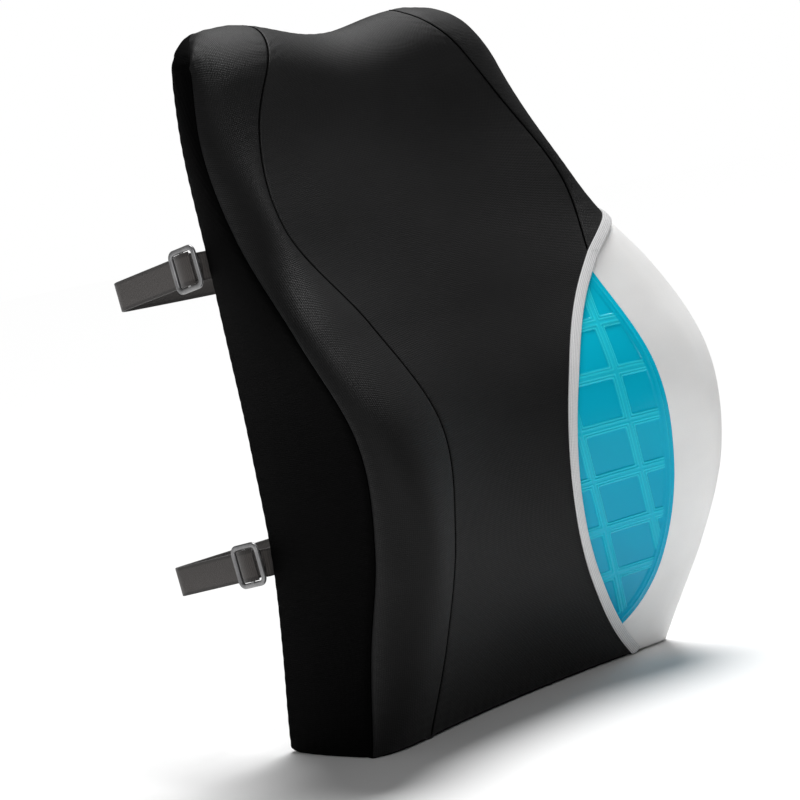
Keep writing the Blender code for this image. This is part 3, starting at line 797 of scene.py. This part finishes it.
def cell_relief(x, z):
    """Height of the gel's face in metres, and its tone: 0 on a cell, higher on a rib, 1 along an edge,
    where a highlight is painted.
    """
    bent = x - CELL_BEND * (z - BEND_Z) ** 2
    to_line_x = np.abs((bent - CELL_X + CELL_WIDE / 2) % CELL_WIDE - CELL_WIDE / 2)
    to_line_z = np.abs((z - CELL_Z + CELL_TALL / 2) % CELL_TALL - CELL_TALL / 2)
    near = (np.maximum(to_line_x, 1e-5) ** -7.0 + np.maximum(to_line_z, 1e-5) ** -7.0) ** (-1 / 7)
    inner = smooth(near, RIB_HALF - 0.0003, RIB_HALF + 0.0005)
    outer = smooth(near, LEDGE_HALF - 0.0003, LEDGE_HALF + 0.0006)
    lip_in = np.exp(-(((near - RIB_HALF) / EDGE_LINE) ** 2))
    lip_out = np.exp(-(((near - LEDGE_HALF) / EDGE_LINE) ** 2))
    height = -0.0002 - 0.0003 * inner - 0.0004 * outer + 0.00045 * lip_in + 0.00060 * lip_out
    # The lip terms paint highlights along the raised lines at the edges of ribs and ledges.
    tone = 0.34 - 0.06 * inner - 0.28 * outer + 0.40 * lip_in + 0.60 * lip_out
    return height, tone


def make_gel():
    """The gel pad: a dish between foam and cover, its grid squared out to the pad's outline."""
    s, t = np.meshgrid(np.linspace(-1, 1, 420), np.linspace(-1, 1, 620))
    far = np.maximum(np.abs(s), np.abs(t))
    length = np.maximum(np.hypot(s, t), 1e-9)
    c, d = s / length, t / length
    reach = (np.abs(c) ** GEL_SQUARENESS + np.abs(d) ** GEL_SQUARENESS) ** (-1 / GEL_SQUARENESS)
    x = GEL_HALF_WIDTH * c * reach * far
    z = GEL_CENTRE_Z + GEL_HALF_HEIGHT * d * reach * far
    gap = np.minimum(1 - far, 1.0) * GEL_HALF_WIDTH
    relief, level = cell_relief(x, z)
    inside = smooth(gap, RIM, RIM + 0.0012)
    ridge = np.exp(-(((gap - RIDGE_AT) / RIDGE_WIDE) ** 2))
    rim = 0.0002 + 0.0008 * ridge
    edge = -0.0030 * (1 - np.sqrt(np.clip(1 - (1 - np.clip(gap / 0.0016, 0, 1)) ** 2, 0, 1)))
    height = (relief + 0.0002) * inside + rim * (1 - inside) + edge
    level = level * inside + (0.30 * ridge - 0.15) * (1 - inside)
    y = soft_front_y(x, z, FOAM_INSET)
    outer = np.stack([x, y - height - GEL_LIFT, z], -1)
    inner = np.stack([x, y + GEL_THICK, z], -1)
    points, faces, keep = close_shell([(outer, inner, None)])
    levels = level.reshape(-1)[keep]
    made = add_mesh("gel_pad_cells", points, faces, GEL, level=np.concatenate([levels, levels]))
    flip_if_inside_out(made)
    settle(made, "gel_pad", "cushion")


# ---- seams and band
def param_of(x, z):
    """The grid position (col, v) of the front's point at x and z, for x above 0."""
    seam, crease = station(SEAM_HALF, z), station(CREASE_HALF, z)
    col = np.where(x <= seam, x / seam, 2 - wing_share(x, seam, crease))
    return col, z / top_height(x, crease)


def frame_at(col, v, w, on_front):
    """Point and outward normal of the cover at grid positions."""
    e = 1e-3
    point = solid(col, v, w)
    rise = solid(col, np.minimum(v + e, 1), w) - solid(col, np.maximum(v - e, 0), w)
    if on_front:
        run = solid(col + e, v, w) - solid(col - e, v, w)
    else:
        run = solid(col, v, np.minimum(w + e, 1)) - solid(col, v, np.maximum(w - e, 0))
    return point, unit(np.cross(run, rise))


def resample(points, normals, step, soften):
    """Even steps along a line of points, after softening its corners."""
    along = lengths(points[:, None], 0)[:, 0]
    even = np.arange(0, along[-1], step)
    line = np.stack([np.interp(even, along, points[:, k]) for k in range(3)], -1)
    face = np.stack([np.interp(even, along, normals[:, k]) for k in range(3)], -1)
    reach = int(round(soften / step))
    if reach > 1:
        kernel = np.hanning(2 * reach + 1)
        kernel /= kernel.sum()
        for values in (line, face):
            for k in range(3):
                padded = np.pad(values[:, k], reach, "reflect", reflect_type="odd")
                values[:, k] = np.convolve(padded, kernel, "valid")
    tangent = unit(np.gradient(line, axis=0))
    face = unit(face - (face * tangent).sum(-1, keepdims=True) * tangent)
    return line, face, np.cross(tangent, face)


def side_height(x):
    """Height at which the cut edge, above its apex, reaches x."""
    return WINDOW_Z + np.sqrt((x - WINDOW_APEX) / STEEPNESS_ABOVE)


def band_line():
    """The cut's edge: up the front, back along the side, and down behind the bare foam."""
    z_corner = 0.27
    for _ in range(30):
        z_corner = float(side_height(station(CREASE_HALF, z_corner)))
    z = np.linspace(0.0, z_corner, 240)
    x = np.minimum(window_x(z), station(CREASE_HALF, z))
    col, v = param_of(x, z)
    front_line, front_normal = frame_at(np.minimum(col, 2.0), v, 0.0, True)
    w = np.linspace(0.0, 1.0, 90)
    heights = np.full_like(w, z_corner)
    for _ in range(12):
        row = solid(2.0, heights / HEIGHT, w)
        heights += np.asarray(side_height(row[:, 0])) - row[:, 2]
    depth = solid(2.0, heights / HEIGHT, w)[:, 1]
    kept = depth < BACK_Y - WINDOW_BACK
    side_line, side_normal = frame_at(2.0, heights[kept] / HEIGHT, w[kept], False)
    z_down = np.linspace(float(heights[kept][-1]), 0.0, 160)[1:]
    crease_y = solid(2.0, z_down / HEIGHT, 0.0)[:, 1]
    w_down = (BACK_Y - WINDOW_BACK - crease_y) / (BACK_Y - crease_y)
    down_line, down_normal = frame_at(2.0, z_down / HEIGHT, w_down, False)
    return (
        np.concatenate([front_line, side_line[1:], down_line]),
        np.concatenate([front_normal, side_normal[1:], down_normal]),
    )


def make_band():
    points, normals = band_line()
    line, face, across = resample(points, normals, 0.0010, 0.004)
    middle = np.array([0.10, BACK_Y - 0.06, 0.11])
    if ((middle - line) * across).sum() < 0:
        across = -across
    line = line + across * (BAND_HALF + 0.0002)
    turn = np.linspace(0, math.pi, 15)
    top = [(-BAND_HALF * math.cos(a), BAND_CROWN * math.sin(a) ** 0.6) for a in turn]
    section = [(-BAND_HALF, -0.0030), *top, (BAND_HALF, -0.0052)]
    line[:, 2] = np.maximum(line[:, 2], 0.0)
    made = sweep("window_binding", line, across, face, section, BAND)
    for vertex in made.data.vertices:
        vertex.co.z = max(vertex.co.z, FLOOR_GAP)
    settle(made, "window_band", "cushion")


def make_seam(name, node, side):
    """A row of short stitches lying in the seam's groove. side: -1 for the left seam, 1 for the right."""
    v = np.linspace(0.004, 0.998, 500)
    points, normals = frame_at(np.full_like(v, 1.0), v, 0.0, True)
    if side > 0:
        kept = beyond_window(points) < -0.0005
        points, normals = points[kept], normals[kept]
    line, face, across = resample(points, normals, SEAM_STEP, 0.004)
    if side < 0:
        for values in (line, face, across):
            values[:, 0] *= -1
    line = line - face * 0.0003
    wave = np.abs(np.sin(np.arange(len(line)) * SEAM_STEP * math.pi / STITCH))
    turn = np.linspace(0, 2 * math.pi, 8, endpoint=False)
    radius = 0.00042 + 0.00018 * np.sqrt(wave)
    section = radius[:, None, None] * np.stack([np.cos(turn) * 0.9, np.sin(turn)], -1)[None]
    made = sweep(name, line, across, face, section, SEAM_THREAD_AND_SHADE)
    settle(made, node, "cushion")


# ---- straps
def rounded_section(half_wide, half_thick, corner, steps=4):
    """The outline of a rectangle with rounded corners."""
    points = []
    for cx, cy, start in ((1, 1, 0), (-1, 1, 90), (-1, -1, 180), (1, -1, 270)):
        for a in np.linspace(start, start + 90, steps):
            turn = math.radians(a)
            points.append((
                cx * (half_wide - corner) + corner * math.cos(turn),
                cy * (half_thick - corner) + corner * math.sin(turn),
            ))
    return points


def place_of(prefix):
    """The strap's frame: its hinge line, turned down by the droop."""
    z = STRAP_HEIGHTS[prefix]
    hinge = Matrix.Translation((0, BACK_Y + STRAP_HINGE_Y, z))
    return hinge @ Matrix.Rotation(-STRAP_DROOP, 4, "X")


def strap_plan(leg_x):
    """The strap's centre line from above, with y counted from the hinge."""
    reach, r = STRAP_REACH - STRAP_HINGE_Y, STRAP_CORNER
    path = [(-leg_x, y) for y in np.linspace(-WEB_HALF, reach - r, 40)]
    for turn in np.linspace(math.pi, math.pi / 2, 14)[1:]:
        path.append((-leg_x + r + r * math.cos(turn), reach - r + r * math.sin(turn)))
    for k in np.linspace(-1, 0, 50)[1:]:
        path.append(((leg_x - r) * k, reach + STRAP_BOW * (1 - k * k)))
    return np.array(path + [(-x, y) for x, y in reversed(path[:-1])])


def ribbon_frame(line):
    """Across and facing directions of a ribbon that stands on edge along the line."""
    up = np.tile([0.0, 0.0, 1.0], (len(line), 1))
    return up, np.cross(up, unit(np.gradient(line, axis=0)))


def make_strap(prefix):
    """The strap's loop, its buckle and its two sewn ends."""
    z = STRAP_HEIGHTS[prefix]
    half = float(station(BACK_HALF, z))
    leg_x = half + LEG_OUTBOARD
    plan = strap_plan(leg_x)
    centre = np.column_stack([plan, np.zeros(len(plan))])
    along = lengths(centre[:, None], 0)[:, 0]
    end_gap = np.minimum(along, along[-1] - along)
    narrow = np.sqrt(np.clip(1 - (1 - np.clip(end_gap / WEB_HALF, 0, 1)) ** 2, 0.02, 1))
    base = np.array(rounded_section(WEB_HALF, WEB_THICK / 2, 0.00055))
    section = np.tile(base, (len(centre), 1, 1))
    section[..., 0] *= narrow[:, None]
    made = sweep(prefix + "_webbing_loop", centre, *ribbon_frame(centre), section, WEBBING)
    made.data.transform(place_of(prefix))
    settle(made, prefix + "_strap_webbing", prefix + "_strap")
    make_buckle(prefix, -leg_x)
    for side, sign in (("left", -1), ("right", 1)):
        make_tab(prefix, side, sign, half, z)


def make_buckle(prefix, leg_x):
    """A tri-glide with rounded bars, and the strap's own end sewn round its middle bar."""
    long, tall, bar, thick = 0.0250, 0.0265, 0.0032, 0.0021
    start = -STRAP_HINGE_Y - SLIDER_START
    plane = leg_x - WEB_THICK / 2 - FIT_GAP - thick / 2
    half_y, half_z, radius = (long - bar) / 2, (tall - bar) / 2, 0.0038
    middle = start + long / 2
    line = np.array([(plane, middle + y, z) for y, z in rounded_section(half_y, half_z, radius, 9)])
    tangent = unit(np.roll(line, -1, 0) - np.roll(line, 1, 0))
    outward = np.tile([-1.0, 0.0, 0.0], (len(line), 1))
    across = np.cross(tangent, outward)
    section = rounded_section(bar / 2, thick / 2, 0.00085, 5)
    ring = sweep(prefix + "_buckle_frame", line, across, outward, section, BUCKLE, closed=True)
    centre = np.array([(plane, middle, h) for h in np.linspace(-half_z, half_z, 12)])
    side = np.tile([0.0, 1.0, 0.0], (12, 1))
    rod = sweep(prefix + "_buckle_bar", centre, side, outward[:12],
                rounded_section(0.0014, 0.00095, 0.0008), BUCKLE)
    place = place_of(prefix)
    for made in (ring, rod):
        made.data.transform(place)
        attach(made, prefix + "_slider")
    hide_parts(prefix + "_strap_slider")
    turn = np.linspace(-1.0, 1.0, 41)
    rise = 0.0021 * np.cos(turn * math.pi / 2) ** 0.8
    loop = np.stack([plane + 0.0006 - rise, middle + 0.0012 + 0.0068 * turn, 0 * turn], -1)
    wrap = sweep(prefix + "_strap_end_wrap", loop, *ribbon_frame(loop),
                 rounded_section(WEB_HALF + 0.0006, 0.00065, 0.0004), WEBBING)
    wrap.data.transform(place)
    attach(wrap, prefix + "_slider")


def make_tab(prefix, side, sign, half, z):
    """The sewn-down end of the strap: flat on the back, then turned up towards the loop."""
    bend, flat, rise, lift = 0.0030, 0.0150, 0.0060, 0.0009
    corner_x = half + LEG_OUTBOARD - WEB_THICK - FIT_GAP
    path = [(corner_x - bend - flat * k, lift) for k in np.linspace(1, 0, 12)]
    for turn in np.linspace(-math.pi / 2, 0, 9)[1:]:
        path.append((corner_x - bend + bend * math.cos(turn), lift + bend + bend * math.sin(turn)))
    path += [(corner_x, lift + bend + (rise - bend) * k) for k in np.linspace(0.2, 1, 5)]
    line = np.array([(sign * x, BACK_Y + y, z) for x, y in path])
    name = prefix + "_" + side + "_strap_anchor"
    made = sweep(name, line, *ribbon_frame(line), rounded_section(0.0084, 0.0007, 0.0005), WEBBING)
    settle(made, prefix + "_strap_" + side + "_tab", "cushion")
    make_box_stitch(name + "_stitches", sign, corner_x - bend - flat, corner_x - bend, z)


def make_box_stitch(name, sign, x_in, x_out, z):
    """A sewn rectangle with a cross, as short raised threads."""
    low_x, high_x, tall = x_in + 0.0015, x_out - 0.0005, 0.0065
    corners = [(low_x, -tall), (high_x, -tall), (high_x, tall), (low_x, tall)]
    runs = list(zip(corners, corners[1:] + corners[:1]))
    runs += [(corners[0], corners[2]), (corners[1], corners[3])]
    points, faces = [], []
    for (x0, z0), (x1, z1) in runs:
        count = max(2, int(math.hypot(x1 - x0, z1 - z0) / 0.0021))
        for k in range(count):
            a, b = (k + 0.12) / count, (k + 0.88) / count
            ends = [(x0 + (x1 - x0) * q, z0 + (z1 - z0) * q) for q in (a, b)]
            add_stitch(points, faces, [(sign * px, BACK_Y + 0.0017, z + pz) for px, pz in ends])
    made = add_mesh(name, points, faces, WHITE_THREAD)
    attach(made, "cushion")


def add_stitch(points, faces, ends):
    """One arched thread between two points of a wall that faces +Y."""
    start, end = (np.array(e) for e in ends)
    out = np.array((0, 1, 0))
    side = np.cross(unit(end - start), out)
    base, rings, around, radius, arch = len(points), 5, 6, 0.00024, 0.00028
    for k in range(rings):
        t = k / (rings - 1)
        centre = start + (end - start) * t + out * (arch * math.sin(math.pi * t) - 0.0001)
        for j in range(around):
            turn = 2 * math.pi * j / around
            points.append(tuple(centre + radius * (side * math.cos(turn) + out * math.sin(turn))))
    for k in range(rings - 1):
        for j in range(around):
            a, b = base + k * around + j, base + k * around + (j + 1) % around
            faces.append((a, b, b + around, a + around))
    faces.append(tuple(base + j for j in reversed(range(around))))
    faces.append(tuple(base + (rings - 1) * around + j for j in range(around)))


# ---- zip
def make_zip():
    """Coils of its own; the tapes, stops, slider and pull stay the CAD's, with better materials."""
    for side in (1, -1):
        name = "upper" if side > 0 else "lower"
        tape = NODES["zipper_" + name + "_tape"]
        tape.data.materials.clear()
        tape.data.materials.append(TAPE)
        make_coil("zip_" + name + "_teeth", "zipper_" + name + "_coil", side)
    for node in ("zipper_top_stop", "zipper_bottom_stop", "zipper_slider_body", "zipper_pull_tab"):
        NODES[node].data.materials.clear()
        NODES[node].data.materials.append(ZIP_METAL)


def make_coil(name, node, side):
    """A flattened coil, whose turns mesh half a pitch away from those of the other tape."""
    steps = 14
    turns = int(2 * ZIP_HALF_LENGTH / COIL_PITCH)
    t = np.arange(turns * steps) / steps
    x = -ZIP_HALF_LENGTH + (t + 0.25 * side + 0.5) * COIL_PITCH
    angle = 2 * math.pi * t
    z = ZIP_Z + side * (0.00105 + 0.00125 * np.cos(angle))
    y = BACK_Y + 0.00005 + 0.00048 * np.sin(angle)
    line = np.stack([np.clip(x, -ZIP_HALF_LENGTH, ZIP_HALF_LENGTH), y, z], -1)
    tangent = unit(np.gradient(line, axis=0))
    other = unit(np.cross(tangent, (1.0, 0.0, 0.0)))
    around = np.linspace(0, 2 * math.pi, 6, endpoint=False)
    section = COIL_RADIUS * np.stack([np.cos(around), np.sin(around)], -1)
    made = sweep(name, line, other, np.cross(tangent, other), section, ZIP_COIL)
    settle(made, node, "cushion")


# ---- floor, lights and camera
def make_stage():
    """A pale floor in a studio that the camera sees as white and everything else as dim."""
    graph = Graph("pale_floor", Roughness=0.9)
    graph.shader.inputs["Base Color"].default_value = (0.86, 0.86, 0.86, 1)
    reach = 60.0
    corners = [(x * reach, y * reach, 0) for x, y in ((-1, -1), (1, -1), (1, 1), (-1, 1))]
    mesh = bpy.data.meshes.new("floor")
    mesh.from_pydata(corners, [], [(0, 1, 2, 3)])
    mesh.materials.append(graph.material)
    floor = bpy.data.objects.new("floor", mesh)
    floor.location.z = -0.0004
    bpy.context.scene.collection.objects.link(floor)
    world = bpy.data.worlds.new("studio")
    bpy.context.scene.world = world
    world.use_nodes = True
    tree = world.node_tree
    seen, lit = tree.nodes["Background"], tree.nodes.new("ShaderNodeBackground")
    seen.inputs[0].default_value = lit.inputs[0].default_value = (1, 1, 1, 1)
    seen.inputs[1].default_value, lit.inputs[1].default_value = 1.0, FILL
    ray, pick = tree.nodes.new("ShaderNodeLightPath"), tree.nodes.new("ShaderNodeMixShader")
    tree.links.new(ray.outputs["Is Camera Ray"], pick.inputs[0])
    tree.links.new(lit.outputs[0], pick.inputs[1])
    tree.links.new(seen.outputs[0], pick.inputs[2])
    tree.links.new(pick.outputs[0], tree.nodes["World Output"].inputs[0])


def add_light(data, place, direction):
    light = bpy.data.objects.new(data.name, data)
    light.location = place
    light.rotation_euler = Vector(direction).to_track_quat("-Z", "Y").to_euler()
    bpy.context.scene.collection.objects.link(light)


def make_key_light():
    """A soft box in front on the left, which brings out the left wing."""
    data = bpy.data.lights.new("key", "AREA")
    data.shape = "RECTANGLE"
    data.size = data.size_y = 0.5
    data.energy = 9.5
    place = Vector((-1.5, -1.1, 0.85))
    add_light(data, place, Vector((0, 0, 0.2)) - place)


def make_sky_panel():
    """Broad light from above, a little from behind on the right, which casts the soft floor shadow."""
    data = bpy.data.lights.new("sky_panel", "SUN")
    data.energy, data.angle = 3.8, math.radians(30)
    add_light(data, (0, 0, 0), (-0.42, -0.16, -1.0))


def make_camera():
    """In front on the left, a little above, and rolled so that the cushion leans in the picture."""
    azimuth, elevation, roll = math.radians(44.0), math.radians(4.4), math.radians(-10.87)
    target = Matrix.Translation((-0.0333, BACK_Y - 0.0518, 0.189))
    turn = Matrix.Rotation(-azimuth, 4, "Z") @ Matrix.Rotation(math.pi / 2 - elevation, 4, "X")
    turn = turn @ Matrix.Rotation(roll, 4, "Z")
    data = bpy.data.cameras.new("camera")
    data.sensor_width = 36.0
    data.lens = 106.2
    camera = bpy.data.objects.new("camera", data)
    camera.matrix_world = target @ turn @ Matrix.Translation((0, 0, CAMERA_DISTANCE))
    bpy.context.scene.collection.objects.link(camera)
    bpy.context.scene.camera = camera


bpy.context.scene.view_settings.view_transform = "Standard"
make_camera()
make_stage()
make_sky_panel()
make_key_light()
make_liner()
make_cover()
make_foam()
make_gel()
make_band()
make_seam("left_seam_stitches", "left_front_seam", -1)
make_seam("right_seam_stitches", "right_front_seam", 1)
for strap in STRAP_HEIGHTS:
    make_strap(strap)
make_zip()
